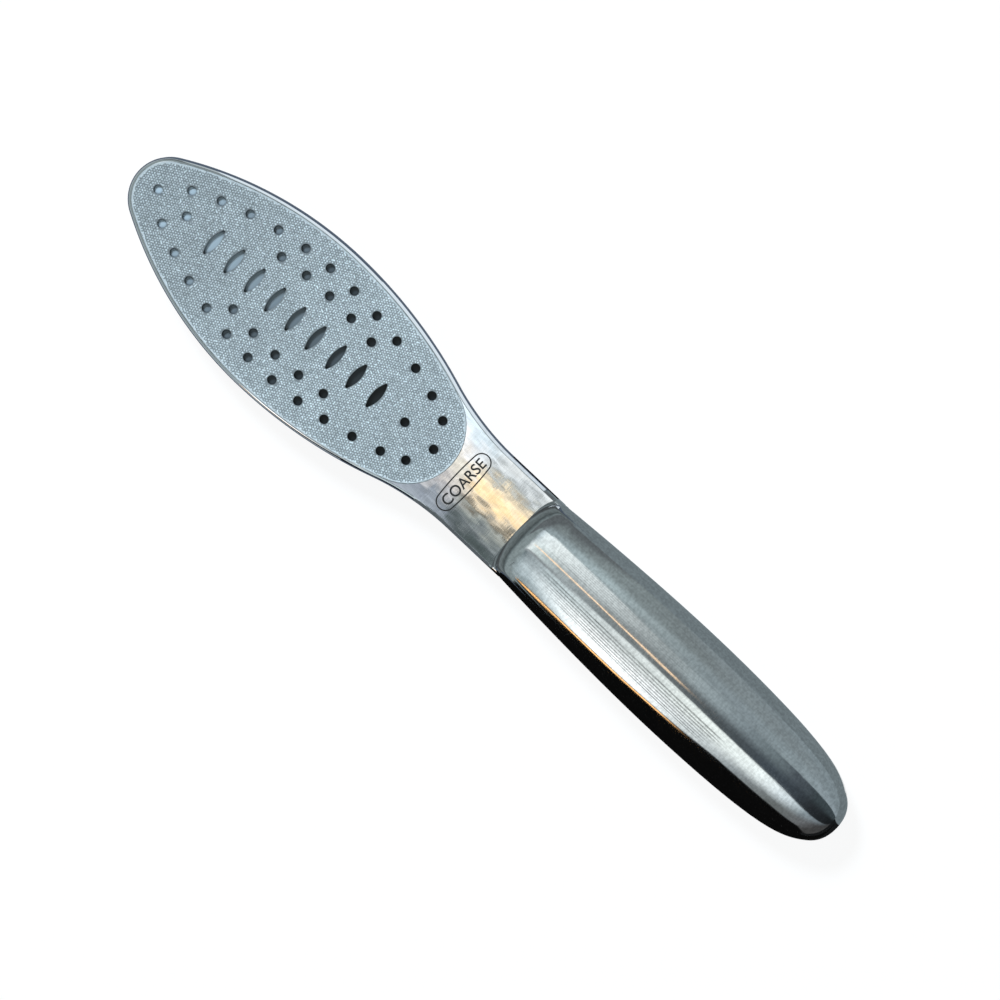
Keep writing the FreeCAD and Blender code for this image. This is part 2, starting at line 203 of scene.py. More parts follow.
def new_material(name):
    """Material with its node tree, its finish and the object's own coordinates."""
    material = bpy.data.materials.new(name)
    material.use_nodes = True
    tree = material.node_tree
    finish = tree.nodes["Principled BSDF"]
    place = add_node(tree, "ShaderNodeTexCoord").outputs["Object"]
    return material, tree, finish, place


def stretched(tree, place, scale):
    """Coordinates stretched by a scale for each axis."""
    return add_node(tree, "ShaderNodeMapping", {"Vector": place, "Scale": scale}).outputs[0]


def noise(tree, place, scale, detail=2.0, roughness=0.5):
    """Soft random pattern from 0 to 1 whose blots measure about one over the scale."""
    return add_node(
        tree, "ShaderNodeTexNoise",
        {"Vector": place, "Scale": scale, "Detail": detail, "Roughness": roughness},
    ).outputs["Fac"]


def spread(tree, pattern, low, high):
    """Random pattern carried over to a range that it mostly fills."""
    return remap(tree, pattern, NOISE_LOW, NOISE_HIGH, low, high)


def bump(tree, height, depth, below=None):
    """Relief of a given depth, in metres, laid over another."""
    inputs = {"Height": height, "Distance": depth, "Strength": 1.0}
    if below:
        inputs["Normal"] = below
    return add_node(tree, "ShaderNodeBump", inputs).outputs[0]


def ramp(tree, value, low, high, stops):
    """Colour that runs through stops, each with a value between low and high."""
    node = add_node(tree, "ShaderNodeValToRGB", {0: remap(tree, value, low, high, smooth=False)})
    points = node.color_ramp.elements
    while len(points) < len(stops):
        points.new(1.0)
    for point, (place, colour) in zip(points, stops):
        point.position = (place - low) / (high - low)
        point.color = (*colour, 1.0)
    return node.outputs["Color"]


# Materials.

COARSE_COLOUR = (0.495, 0.555, 0.585)
FINE_COLOUR = (0.52, 0.575, 0.595)
BORDER_COLOUR = (0.57, 0.63, 0.66)
POLISHED_COLOUR = (0.80, 0.81, 0.82)
HOLLOW_COLOUR = (0.46, 0.56, 0.63)
SATIN_COLOUR = (0.74, 0.75, 0.75)
FILM_COLOUR = (0.80, 0.80, 0.74)
CEMENT_COLOUR = (0.55, 0.53, 0.48)
# The plates are painted darker toward the tip, over this length.
TIP_DARKENING_LENGTH = 75 * MILLIMETRE
# The hollow behind a plate: how far its floor lies from the mid plane at most, the stations between which
# painted shade darkens it, the half width of its middle strip, which is painted lighter, and how far
# painted shade reaches from its corners.
HOLLOW_FLOOR_HEIGHT = 1.65 * MILLIMETRE
HOLLOW_STATIONS = (12 * MILLIMETRE, 82 * MILLIMETRE)
MIDDLE_STRIP, MIDDLE_STRIP_SOFTNESS = 5 * MILLIMETRE, 1.5 * MILLIMETRE
CORNER_SHADE_REACH = 2.0 * MILLIMETRE
# Where the neck's polish and its crown set in, from the plate's end.
NECK_POLISH_START = (-4 * MILLIMETRE, 1 * MILLIMETRE)
NECK_CROWN_START = (-22 * MILLIMETRE, -8 * MILLIMETRE)


def toothed_steel(name, base, teeth_top, teeth_depth, side):
    """Matte etched steel: pale worn teeth over valleys darkened with painted shade, and a burnished
    border.
    """
    material, tree, finish, place = new_material(name)
    axes = axes_of(tree, place)
    if side == UP:
        wear_and_valley_shade = remap(tree, axes["Z"], teeth_top - teeth_depth, teeth_top)
    else:
        wear_and_valley_shade = remap(tree, axes["Z"], teeth_top, teeth_top + teeth_depth, 1.0, 0.0)
    border = add_node(tree, "ShaderNodeAttribute", attribute_name="border").outputs["Fac"]
    blotch = spread(tree, noise(tree, place, 130, 3.0), 0.95, 1.04)
    grain = spread(tree, noise(tree, place, 3600, 1.0), 0.84, 1.12)
    # Tops are paler from wear; the valleys are darkened with painted shade.
    teeth = between(tree, wear_and_valley_shade, 0.58, 1.78)
    # Darker toward the tip.
    tipward_darkening = remap(tree, axes["X"], head_low.x, head_low.x + TIP_DARKENING_LENGTH, 0.81, 1.0, smooth=False)
    colour = tinted(tree, base, product(tree, blotch, grain, teeth, tipward_darkening))
    colour = blend_colours(tree, border, colour, BORDER_COLOUR)
    rough = between(tree, wear_and_valley_shade, 0.62, 0.46)
    rough = calculate(tree, "SUBTRACT", rough, product(tree, border, 0.15))
    relief = bump(tree, noise(tree, place, 3500, 2.0), 0.02 * MILLIMETRE)
    connect(tree, finish, {"Base Color": colour, "Roughness": rough, "Metallic": 0.35, "Normal": relief})
    return material


def polished_steel():
    """Hand-polished steel of the blank, crowned on the neck, with a matte floor behind each plate."""
    material, tree, finish, place = new_material("polished_steel_finish")
    axes = axes_of(tree, place)
    start, end = (plate_end + distance for distance in NECK_POLISH_START)
    on_neck = remap(tree, axes["X"], start, end)
    floor = on_hollow_floor(tree, axes)

    # Traces of the polishing wheel: lengthwise patches, and fine lines across the neck.
    patch = noise(tree, stretched(tree, place, (0.4, 1, 0.3)), 420, 3.0, 0.6)
    lines = noise(tree, stretched(tree, place, (1, 0.05, 0.3)), 2600, 2.0)
    waves = noise(tree, stretched(tree, place, (0.3, 1, 0.3)), 300, 2.0)
    shade = product(tree, spread(tree, patch, 0.88, 1.0), spread(tree, lines, 0.92, 1.03))
    shade = between(tree, on_neck, 1.0, shade, smooth=False)
    relief = crowned_normal(tree, axes)
    for pattern, depth in ((waves, 0.012), (patch, 0.004), (lines, 0.0012)):
        relief = bump(tree, product(tree, pattern, on_neck), depth * MILLIMETRE, relief)

    # The hollow's floor takes a colour with painted light and shade.
    colour = blend_colours(tree, floor, tinted(tree, POLISHED_COLOUR, shade), hollow_colour_with_painted_shade(tree, axes))
    rough = between(tree, floor, spread(tree, patch, 0.05, 0.03), 0.6, smooth=False)
    metal = between(tree, floor, 1.0, 0.15)
    connect(tree, finish, {"Base Color": colour, "Roughness": rough, "Metallic": metal, "Normal": relief})
    return material


def on_hollow_floor(tree, axes):
    """One on the floor of the hollow behind a plate, nothing elsewhere."""
    height = calculate(tree, "ABSOLUTE", calculate(tree, "SUBTRACT", axes["Z"], mid_plane))
    low = calculate(tree, "LESS_THAN", height, HOLLOW_FLOOR_HEIGHT)
    normal = add_node(tree, "ShaderNodeNewGeometry").outputs["True Normal"]
    upward = calculate(tree, "ABSOLUTE", axes_of(tree, normal)["Z"])
    return product(tree, low, calculate(tree, "GREATER_THAN", upward, 0.9))


def hollow_colour_with_painted_shade(tree, axes):
    """Matte steel with painted light near the tip and along the middle, and painted shade toward the neck
    and in corners.
    """
    start, end = (head_low.x + station for station in HOLLOW_STATIONS)
    # Painted light near the tip and painted shade toward the neck, lighter along the middle strip.
    painted_tip_light = remap(tree, axes["X"], start, end, 1.0, 0.0, smooth=False)
    middle = window(tree, axes["Y"], -MIDDLE_STRIP, MIDDLE_STRIP, MIDDLE_STRIP_SOFTNESS)
    fading = calculate(tree, "POWER", painted_tip_light, between(tree, middle, 2.0, 1.15))
    fading = between(tree, fading, 0.03, 1.0, smooth=False)
    # Painted shade in the corners: the less open the floor is, the darker it is painted.
    nearness = add_node(tree, "ShaderNodeAmbientOcclusion", {"Distance": CORNER_SHADE_REACH})
    corners = remap(tree, nearness.outputs["AO"], 0.34, 0.64, 0.10, 1.15)
    return tinted(tree, HOLLOW_COLOUR, product(tree, fading, corners))


def crowned_normal(tree, axes):
    """Normals of the blank, evened out on the neck's two faces as the polishing wheel left them."""
    own = add_node(tree, "ShaderNodeNewGeometry").outputs["Normal"]
    upward = axes_of(tree, own)["Z"]
    sideways = product(tree, axes["Y"], NECK_CROWN)
    crown = {0: -NECK_FALL, 1: sideways, 2: calculate(tree, "SIGN", upward)}
    crown = add_node(tree, "ShaderNodeCombineXYZ", crown).outputs[0]
    even = add_node(tree, "ShaderNodeVectorMath", {0: crown}, operation="NORMALIZE").outputs[0]
    on_face = remap(tree, calculate(tree, "ABSOLUTE", upward), 0.955, 0.985)
    start, end = (plate_end + distance for distance in NECK_CROWN_START)
    share = product(tree, on_face, remap(tree, axes["X"], start, end))
    mix = add_node(tree, "ShaderNodeMix", {0: share, 4: own, 5: even}, data_type="VECTOR")
    return mix.outputs[1]


def brushed_steel():
    """Satin steel of the handle, brushed lengthwise, with a fine grain."""
    material, tree, finish, place = new_material("brushed_steel_finish")
    lines = noise(tree, stretched(tree, place, (0.012, 1, 1)), 2600, 3.0, 0.6)
    bands = noise(tree, stretched(tree, place, (0.02, 1, 1)), 420, 2.0)
    cloud = noise(tree, place, 60, 2.0)
    grain = noise(tree, stretched(tree, place, (1, 0.6, 1)), 1500, 2.0)
    shade = product(tree, spread(tree, lines, 0.9, 1.02), spread(tree, cloud, 0.96, 1.03),
                    spread(tree, grain, 0.86, 1.10))
    colour = tinted(tree, SATIN_COLOUR, shade)
    rough = spread(tree, cloud, 0.05, 0.07)
    relief = bump(tree, lines, 0.002 * MILLIMETRE, bump(tree, bands, 0.005 * MILLIMETRE))
    connect(tree, finish, {"Base Color": colour, "Roughness": rough, "Metallic": 1.0, "Normal": relief})
    return material


def marking():
    """Dark laser marking on the polished neck."""
    material, tree, finish, place = new_material("marking_finish")
    grain = spread(tree, noise(tree, place, 5000, 2.0), 0.02, 0.06)
    connect(tree, finish, {"Base Color": grain, "Roughness": 0.5, "Metallic": 0.6})
    return material


def resin(name, colour, scale):
    """Hardened resin with small blotches."""
    material, tree, finish, place = new_material(name)
    shade = spread(tree, noise(tree, place, scale, 3.0), 0.8, 1.1)
    relief = bump(tree, noise(tree, place, 4 * scale), 0.05 * MILLIMETRE)
    connect(tree, finish, {"Base Color": tinted(tree, colour, shade), "Roughness": 0.45, "Normal": relief})
    return material


def dress(piece, material):
    """Give a piece its only material."""
    if piece.data.materials:
        for number in range(len(piece.data.materials)):
            piece.material_slots[number].link = "OBJECT"
            piece.material_slots[number].material = material
    else:
        piece.data.materials.append(material)


# Meshes.

def new_piece(name, vertices, faces, material, side=UP):
    """Piece of the object, from its corners and its faces, which are turned over on the lower side."""
    mesh = bpy.data.meshes.new(name)
    mesh.from_pydata([tuple(vertex) for vertex in vertices], [], [face[::side] for face in faces])
    mesh.validate()
    piece = bpy.data.objects.new(name, mesh)
    bpy.context.scene.collection.objects.link(piece)
    dress(piece, material)
    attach(piece, ROOT)
    return piece


def rim_edges(faces):
    """Edges that only one face has, each from its start to its end as that face runs."""
    edges = dict.fromkeys((start, end) for face in faces for start, end in zip(face, face[1:] + face[:1]))
    return [(start, end) for start, end in edges if (end, start) not in edges]


def outlines(faces):
    """Closed outlines of faces, as lists of their corners."""
    following = dict(rim_edges(faces))
    loops = []
    while following:
        start, point = following.popitem()
        loop = [start]
        while point != start:
            loop.append(point)
            point = following.pop(point)
        loops.append(loop)
    return loops


def face_loops(node, height):
    """Outlines, as arrays of plan points, of the flat face that a node has at a height."""
    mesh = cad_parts[node].data
    places = [tuple(np.round(vertex.co, 7)) for vertex in mesh.vertices]
    faces = [[places[number] for number in polygon.vertices] for polygon in mesh.polygons]
    flat = [face for face in faces if all(abs(place[2] - height) < FLATNESS for place in face)]
    loops = [np.array(loop)[:, :2] for loop in outlines(flat)]
    return sorted(loops, key=lambda loop: -np.ptp(loop[:, 0]))


def inside(points, loop):
    """Which points lie inside a closed outline."""
    result = np.zeros(len(points), bool)
    near = np.all((points >= loop.min(0)) & (points <= loop.max(0)), axis=1)
    x, y = points[near, 0], points[near, 1]
    hits = np.zeros(len(x), bool)
    for (x0, y0), (x1, y1) in zip(loop, np.roll(loop, -1, axis=0)):
        if y0 != y1:
            crosses = (y0 > y) != (y1 > y)
            hits ^= crosses & (x < x0 + (y - y0) * (x1 - x0) / (y1 - y0))
    result[near] = hits
    return result


def in_material(points, loops):
    """Which points lie inside the outer outline and outside every hole."""
    result = inside(points, loops[0])
    for loop in loops[1:]:
        result &= ~inside(points, loop)
    return result


def rim_tree(points):
    """Search tree of plan points."""
    tree = KDTree(len(points))
    for number, (x, y) in enumerate(points):
        tree.insert((x, y, 0), number)
    tree.balance()
    return tree


def honeycomb(loops, taken, spacing, random):
    """Jittered grid of points in the sheet, clear of those already taken, and which are tops of teeth."""
    low, high = loops[0].min(0), loops[0].max(0)
    row_height = spacing * math.sqrt(3) / 2
    columns = int((high[0] - low[0]) / spacing) + 2
    rows = int((high[1] - low[1]) / row_height) + 2
    row, column = np.mgrid[0:rows, 0:columns]
    x = low[0] + (column + row % 2 / 2) * spacing
    y = low[1] + row * row_height
    top = (column - row // 2 - row) % 3 == 0
    points = np.stack([x.ravel(), y.ravel()], axis=1)
    points += random.uniform(-TOOTH_JITTER_SHARE, TOOTH_JITTER_SHARE, points.shape) * spacing
    tree = rim_tree(taken)
    clear = np.array([tree.find((*point, 0))[2] > CLEAR_SHARE * spacing for point in points])
    kept = clear & in_material(points, loops)
    return points[kept], top.ravel()[kept]


def split_long_edges(loop, limit):
    """The same outline with no edge over a limit."""
    result = []
    for start, end in zip(loop, np.roll(loop, -1, axis=0)):
        count = max(1, math.ceil(np.linalg.norm(end - start) / limit))
        result += [start + (end - start) * step / count for step in range(count)]
    return np.array(result)


def moved_left(loop, distance):
    """The same closed outline, each point moved to the left of its course."""
    ahead = np.roll(loop, -1, axis=0) - np.roll(loop, 1, axis=0)
    ahead /= np.linalg.norm(ahead, axis=1)[:, None]
    return loop + distance * np.stack([-ahead[:, 1], ahead[:, 0]], axis=1)


def drawn_in(loop, inset):
    """The same closed outline, drawn in by an inset."""
    x, y = loop.T
    area = np.sum(x * np.roll(y, -1) - y * np.roll(x, -1))
    return moved_left(loop, math.copysign(inset, area))


def triangulate(loops, points):
    """Triangulation of outlines and of points in them: corners, triangles, and each corner's source."""
    corners, edges = [], []
    for loop in loops:
        first = len(corners)
        corners += [Vector(point) for point in loop]
        edges += [(first + step, first + (step + 1) % len(loop)) for step in range(len(loop))]
    corners += [Vector(point) for point in points]
    found = delaunay_2d_cdt(corners, edges, [], 0, 1e-8)
    place = np.array([tuple(corner) for corner in found[0]])
    return place, np.array(found[2]), [next(iter(origin), -1) for origin in found[3]]


def fill(loops, points):
    """Triangles over a sheet with holes: outline points first, then the points inside it."""
    place, triangles, source = triangulate(loops, points)
    kept = triangles[in_material(place[triangles].mean(axis=1), loops)]
    return [[source[corner] for corner in triangle] for triangle in kept]


def teeth(loops, taken, spacing):
    """Points of a toothed face, and how far each lies under the face, as shares of the teeth's depth."""
    random = np.random.default_rng(SEED)
    points, tops = honeycomb(loops, taken, spacing, random)
    top_drops = random.uniform(*TOP_SHARES, len(tops))
    valley_drops = random.uniform(*VALLEY_SHARES, len(tops))
    return points, np.where(tops, top_drops, valley_drops)


def edge_walls(loops, back):
    """Faces between outlines and the same outlines on the back layer."""
    walls, first = [], 0
    for loop in loops:
        starts = range(first, first + len(loop))
        ends = [*starts[1:], first]
        walls += [[start, back + start, back + end, end] for start, end in zip(starts, ends)]
        first += len(loop)
    return walls


def toothed_plate(name, node, side, spacing, depth, material):
    """Abrasive plate whose outer face is covered with small teeth, with its holes open."""
    low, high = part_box(node)
    outer, inner = (high.z, low.z) if side == UP else (low.z, high.z)
    loops = [split_long_edges(loop, LONGEST_EDGE_SHARE * spacing) for loop in face_loops(node, outer)]
    rim = np.vstack(loops)
    border = np.vstack([drawn_in(loops[0], BORDER_WIDTH * share) for share in BORDER_ROW_SHARES])
    points, drops = teeth(loops, np.vstack([rim, border]), spacing)
    on_outline = np.arange(len(rim)) < len(loops[0])
    rim_drops = np.where(on_outline, OUTER_EDGE_SHARE, HOLE_EDGE_SHARE)

    front = np.vstack([rim, border, points])
    heights = outer - side * depth * np.concatenate([rim_drops, np.zeros(len(border)), drops])
    back = len(front)
    vertices = [(x, y, z) for (x, y), z in zip(front, heights)] + [(x, y, inner) for x, y in rim]
    back_faces = [[back + corner for corner in face[::-1]] for face in fill(loops, [])]
    faces = fill(loops, np.vstack([border, points])) + back_faces + edge_walls(loops, back)
    piece = new_piece(name, vertices, faces, material, side)

    burnished = np.zeros(len(vertices), np.float32)
    burnished[:len(loops[0])] = 1
    burnished[len(rim): len(rim) + len(border)] = 1
    piece.data.attributes.new("border", "FLOAT", "POINT").data.foreach_set("value", burnished)
    shade_smooth(piece, SHARP_ANGLE)
    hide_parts(node)


def shade_smooth(piece, sharp_angle):
    """Smooth shading but over edges sharper than an angle, in degrees."""
    piece.data.polygons.foreach_set("use_smooth", [True] * len(piece.data.polygons))
    piece.data.set_sharp_from_angle(angle=math.radians(sharp_angle))


def blank_surface():
    """Search tree of the blank's surface, for what lies on it or round it."""
    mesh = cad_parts["head_blank"].data
    return BVHTree.FromPolygons(
        [vertex.co for vertex in mesh.vertices], [polygon.vertices for polygon in mesh.polygons]
    )


def closed_sheet(faces, count):
    """A sheet's faces, the same turned over on its second layer, and walls between both edges."""
    under = [[count + corner for corner in face[::-1]] for face in faces]
    walls = [[end, start, count + start, count + end] for start, end in rim_edges(faces)]
    return faces + under + walls


def spline_weights(count, places):
    """Weight of each control point of a clamped smooth curve at places from 0 to 1."""
    ends = np.zeros(SPLINE_DEGREE)
    knots = np.concatenate([ends, np.linspace(0, 1, count - SPLINE_DEGREE + 1), ends + 1])
    places = np.clip(places, 0, 1 - 1e-12)[:, None]
    weights = ((knots[:-1] <= places) & (places < knots[1:])).astype(float)
    for degree in range(1, SPLINE_DEGREE + 1):
        early, late = knots[: -degree - 1], knots[degree + 1:]
        rise_span, fall_span = knots[degree:-1] - early, late - knots[1:-degree]
        rise = (places - early) / np.where(rise_span > 0, rise_span, np.inf)
        fall = (late - places) / np.where(fall_span > 0, fall_span, np.inf)
        weights = rise * weights[:, :-1] + fall * weights[:, 1:]
    return weights


def handle_points(inset, side):
    """Points on one side of the handle's form, drawn in by an inset, ring by ring, then its end."""
    profile = spline_weights(len(PROFILE_SHARES), np.linspace(0, 1, HANDLE_RINGS)) @ PROFILE_SHARES
    section = spline_weights(len(SECTION_SHARES), np.linspace(0, 1, HANDLE_COLUMNS)) @ SECTION_SHARES
    station, reach = profile[:-1, :1], profile[:-1, 1:]
    half_width = shell_high.y / (profile[:, 1].max() * section[:, 0].max()) - inset
    half_height = (shell_high.z - mid_plane) / (profile[:, 1].max() * section[:, 1].max()) - inset
    y = reach * section[:, 0] * half_width
    z = mid_plane + side * reach * section[:, 1] * half_height
    x = nose + inset + station * (butt - nose - 2 * inset) + 0 * y
    return [*np.stack([x, y, z], axis=-1).reshape(-1, 3), np.array((butt - inset, 0, mid_plane))]


def handle_skin(name, node, side, surface, material):
    """Half shell of the handle as a fine smooth mesh, open where the neck goes in."""
    outer, inner = handle_points(0, side), handle_points(HANDLE_WALL, side)
    hidden = []
    for point in outer:
        place, normal, _, distance = surface.find_nearest(Vector(point))
        in_neck = point[0] < neck_end and (Vector(point) - place).dot(normal) < 0
        hidden.append(in_neck and distance > HIDDEN_DEPTH)
    faces, end = [], len(outer) - 1
    for ring in range(HANDLE_RINGS - 1):
        for column in range(HANDLE_COLUMNS - 1):
            first = ring * HANDLE_COLUMNS + column
            after = first + HANDLE_COLUMNS
            face = [first, first + 1, after + 1, after] if after < end else [first, first + 1, end]
            if not all(hidden[corner] for corner in face):
                faces.append(face)
    faces = closed_sheet(faces, len(outer))
    piece = new_piece(name, outer + inner, faces, material, side)
    remove_loose_points(piece.data)
    shade_smooth(piece, SHARP_ANGLE)
    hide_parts(node)


def remove_loose_points(mesh):
    """Take out the points that no face uses."""
    form = bmesh.new()
    form.from_mesh(mesh)
    loose = [point for point in form.verts if not point.link_faces]
    bmesh.ops.delete(form, geom=loose, context="VERTS")
    form.to_mesh(mesh)
    form.free()


def arc(centre, radius, start, end, way):
    """Points of an arc between two angles, each with its outward direction."""
    turns = np.linspace(start, end, ARC_STEPS, endpoint=False)
    outward = np.stack([np.cos(turns), np.sin(turns)], axis=1)
    return centre + radius * outward, way * outward


def half_outline():
    """The head's outline on the +Y side, from the tip to the nose.

    Gives its points, their outward directions, and how far the skin stands proud of the rim there.
    """
    half_head, half_neck = HEAD_WIDTH / 2, NECK_WIDTH / 2
    widest = head_low.x + WIDEST_STATION
    drop = WIDEST_STATION - TIP_RADIUS
    front_radius = (drop ** 2 + half_head ** 2 - TIP_RADIUS ** 2) / (2 * (half_head - TIP_RADIUS))
    tip_centre = np.array((head_low.x + TIP_RADIUS, 0))
    front_centre = np.array((widest, half_head - front_radius))
    rear_centre = np.array((widest, half_head - REAR_FLANK_RADIUS))
    height = half_neck + NECK_FLANK_RADIUS
    reach = math.sqrt((REAR_FLANK_RADIUS + NECK_FLANK_RADIUS) ** 2 - (height - rear_centre[1]) ** 2)
    neck_centre = np.array((widest + reach, height))
    tip_turn = math.atan2(*(tip_centre - front_centre)[::-1])
    waist_turn = math.atan2(*(neck_centre - rear_centre)[::-1])
    end = (neck_end + nose) / 2
    straight = np.array([(neck_centre[0], half_neck), (end, half_neck)])
    parts = [
        arc(tip_centre, TIP_RADIUS, math.pi, tip_turn, 1),
        arc(front_centre, front_radius, tip_turn, math.pi / 2, 1),
        arc(rear_centre, REAR_FLANK_RADIUS, math.pi / 2, waist_turn, 1),
        arc(neck_centre, NECK_FLANK_RADIUS, waist_turn + math.pi, 1.5 * math.pi, -1),
        (straight, np.array([(0, 1), (0, 1)])),
    ]
    proud = np.full(sum(len(points) for points, _ in parts), RIM_PROUD)
    swell = np.sin(np.linspace(0, math.pi, ARC_STEPS, endpoint=False)) ** 2
    proud[3 * ARC_STEPS: 4 * ARC_STEPS] += swell * (HOLLOW_FLANK_PROUD - RIM_PROUD)
    points, outward = (np.vstack(column) for column in zip(*parts))
    return points, outward, proud


def head_rim(material):
    """Even skin over the blank's rim, from the nose round the tip and back, with rounded edges."""
    points, outward, proud = half_outline()
    mirror = np.array((1, -1))
    points = np.vstack([points[::-1], points[1:] * mirror])
    outward = np.vstack([outward[::-1], outward[1:] * mirror])
    proud = np.concatenate([proud[::-1], proud[1:]])
    lowest = math.asin(1 - RIM_WIDTH / EDGE_ROUND)
    tilts = np.linspace(lowest, math.pi / 2, ROUND_STEPS)
    section = [(UP, tilt) for tilt in tilts] + [(DOWN, tilt) for tilt in tilts[::-1]]
    half_thickness = face_height - mid_plane
    rings = []
    for side, tilt in section:
        radius = EDGE_ROUND + proud * math.cos(tilt) ** 0.5
        plan = points - outward * (EDGE_ROUND - radius * math.sin(tilt))[:, None]
        z = mid_plane + side * (half_thickness - EDGE_ROUND + radius * math.cos(tilt))
        rings.append(np.column_stack([plan, z]))
    count, steps = len(points), len(rings)
    vertices = np.vstack(rings)
    faces = [list(range(0, steps * count, count)), list(range(count - 1, steps * count, count))[::-1]]
    for step in range(steps):
        first, after = step * count, (step + 1) % steps * count
        faces += [[first + place, after + place, after + place + 1, first + place + 1]
                  for place in range(count - 1)]
    piece = new_piece("head_rim_skin", vertices, faces, material)
    face_outward(piece.data)
    shade_smooth(piece, RIM_SHARP_ANGLE)


def face_outward(mesh):
    """Turn a closed mesh's faces so that they all look out."""
    form = bmesh.new()
    form.from_mesh(mesh)
    bmesh.ops.recalc_face_normals(form, faces=form.faces)
    form.to_mesh(mesh)
    form.free()


def lay_on_neck(name, plan, faces, side, surface, material):
    """Thin marking in the neck's surface: plan points are lowered onto it, and the sheet is closed."""
    top, bottom = [], []
    for x, y in plan:
        start = Vector((x, y, mid_plane + side * RAY_START))
        hit = surface.ray_cast(start, Vector((0, 0, -side)))[0]
        top.append((x, y, hit.z + side * MARK_PROUD))
        bottom.append((x, y, hit.z - side * MARK_PROUD))
    faces = closed_sheet(faces, len(plan))
    new_piece(name, top + bottom, faces, material, side)


def build_label(word, side, surface, material):
    """Grade word in a long rounded outline, across the neck."""
    plan, faces = outline_ring()
    lay_on_neck(f"{word.lower()}_label_outline", plan, faces, side, surface, material)
    plan, faces = word_sheet(word, side)
    lay_on_neck(f"{word.lower()}_label_word", plan, faces, side, surface, material)


def outline_ring():
    """Plan of the label's outline, as a closed band of small faces."""
    straight = LABEL_HALF_LENGTH - LABEL_END_RADIUS
    path = []
    for end in (1, -1):
        for step in range(ARC_FACES + 1):
            turn = math.pi * step / ARC_FACES + (0 if end > 0 else math.pi)
            path.append((end * straight, math.cos(turn), math.sin(turn), 0))
        for step in range(1, SIDE_FACES):
            share = 1 - 2 * step / SIDE_FACES
            path.append((end * straight * share, -end, 0, LABEL_BULGE * (1 - share ** 2)))
    plan = []
    for y, outward_x, outward_y, bulge in path:
        for radius in (LABEL_END_RADIUS + bulge, LABEL_END_RADIUS + bulge - LABEL_LINE):
            plan.append((LABEL_PLACE.x + radius * outward_x, LABEL_PLACE.y + y + radius * outward_y))
    starts = range(0, len(plan), 2)
    faces = [[start, end, end + 1, start + 1] for start, end in zip(starts, [*starts[1:], 0])]
    return plan, faces


def word_sheet(word, side):
    """Plan of a plain capital word whose letters' tops point to the tip."""
    curve = bpy.data.curves.new(word, "FONT")
    curve.body = word
    curve.align_x = curve.align_y = "CENTER"
    holder = bpy.data.objects.new(word, curve)
    mesh = bpy.data.meshes.new_from_object(holder)
    bpy.data.objects.remove(holder)
    corners = np.array([vertex.co[:2] for vertex in mesh.vertices])
    loops = outlines([list(polygon.vertices) for polygon in mesh.polygons])
    span = corners.max(0) - corners.min(0)
    middle = (corners.max(0) + corners.min(0)) / 2
    length = LETTER_STEP * len(word)
    plan_loops = []
    for loop in loops:
        bold = moved_left(corners[loop], -LETTER_BOLDNESS)
        across = (bold - middle) / span * (length, LETTER_HEIGHT)
        placed = np.stack([LABEL_PLACE.x - across[:, 1], LABEL_PLACE.y + side * across[:, 0]], axis=1)
        plan_loops.append(split_long_edges(placed, FINEST_EDGE))
    bpy.data.meshes.remove(mesh)
    return fill_letters(plan_loops)


def fill_letters(loops):
    """Plan points and triangles of letters, given their outer outlines and the holes in them."""
    place, triangles, _ = triangulate(loops, [])
    centres = place[triangles].mean(axis=1)
    hits = sum(inside(centres, loop).astype(int) for loop in loops)
    return place.tolist(), triangles[hits % 2 == 1].tolist()


# Studio.

# Width seen at the target, the camera's distance, its lean to +Y and the tool's turn in the picture.
VIEW_SPAN, VIEW_DISTANCE = 260.78 * MILLIMETRE, 1.2
VIEW_CENTRE = Vector((2.4 * MILLIMETRE, 2.0 * MILLIMETRE, mid_plane))
VIEW_LEAN, VIEW_TURN = math.radians(8), math.radians(43.07)


def add_camera():
    """Camera almost overhead, leaning to +Y, with the tool running down to the right."""
    toward = Vector((0, math.sin(VIEW_LEAN), math.cos(VIEW_LEAN)))
    up = Vector((-math.sin(VIEW_TURN), math.cos(VIEW_TURN), 0))
    up = (up - up.dot(toward) * toward).normalized()
    axes = Matrix((up.cross(toward), up, toward)).transposed().to_4x4()
    data = bpy.data.cameras.new("camera")
    data.lens = data.sensor_width * VIEW_DISTANCE / VIEW_SPAN
    camera = bpy.data.objects.new("camera", data)
    bpy.context.scene.collection.objects.link(camera)
    camera.matrix_world = Matrix.Translation(VIEW_CENTRE + toward * VIEW_DISTANCE) @ axes
    bpy.context.scene.camera = camera


# Sky of the studio as the steel mirrors it. Directions are given in degrees from overhead: across
# grows toward -Y and along grows toward +X. Bands lie side by side across. Each starts at an edge,
# a line through points (along, across), and has colours that run along it.
WHITE = (1.0, 1.0, 1.0)
HORIZON_SPAN = (math.sin(math.radians(4)), math.sin(math.radians(8)))
BLACK = (0.004, 0.004, 0.004)
SHADE = (0.30, 0.36, 0.37)
GREY_COLOURS = (
    (-7, (0.15, 0.17, 0.18)), (-3.3, (0.31, 0.37, 0.38)), (-1, (0.27, 0.32, 0.33)),
    (4, (0.24, 0.28, 0.29)), (9, (0.28, 0.33, 0.35)), (40, (0.28, 0.34, 0.37)),
)
SOFT_GREY_COLOURS = (
    (-7, (0.26, 0.31, 0.33)), (-4, (0.41, 0.50, 0.53)), (-3, (0.53, 0.65, 0.68)),
    (0, (0.42, 0.50, 0.52)), (1.5, (0.36, 0.43, 0.45)), (7, (0.30, 0.36, 0.39)),
    (12, (0.33, 0.40, 0.43)), (40, (0.35, 0.42, 0.46)),
)
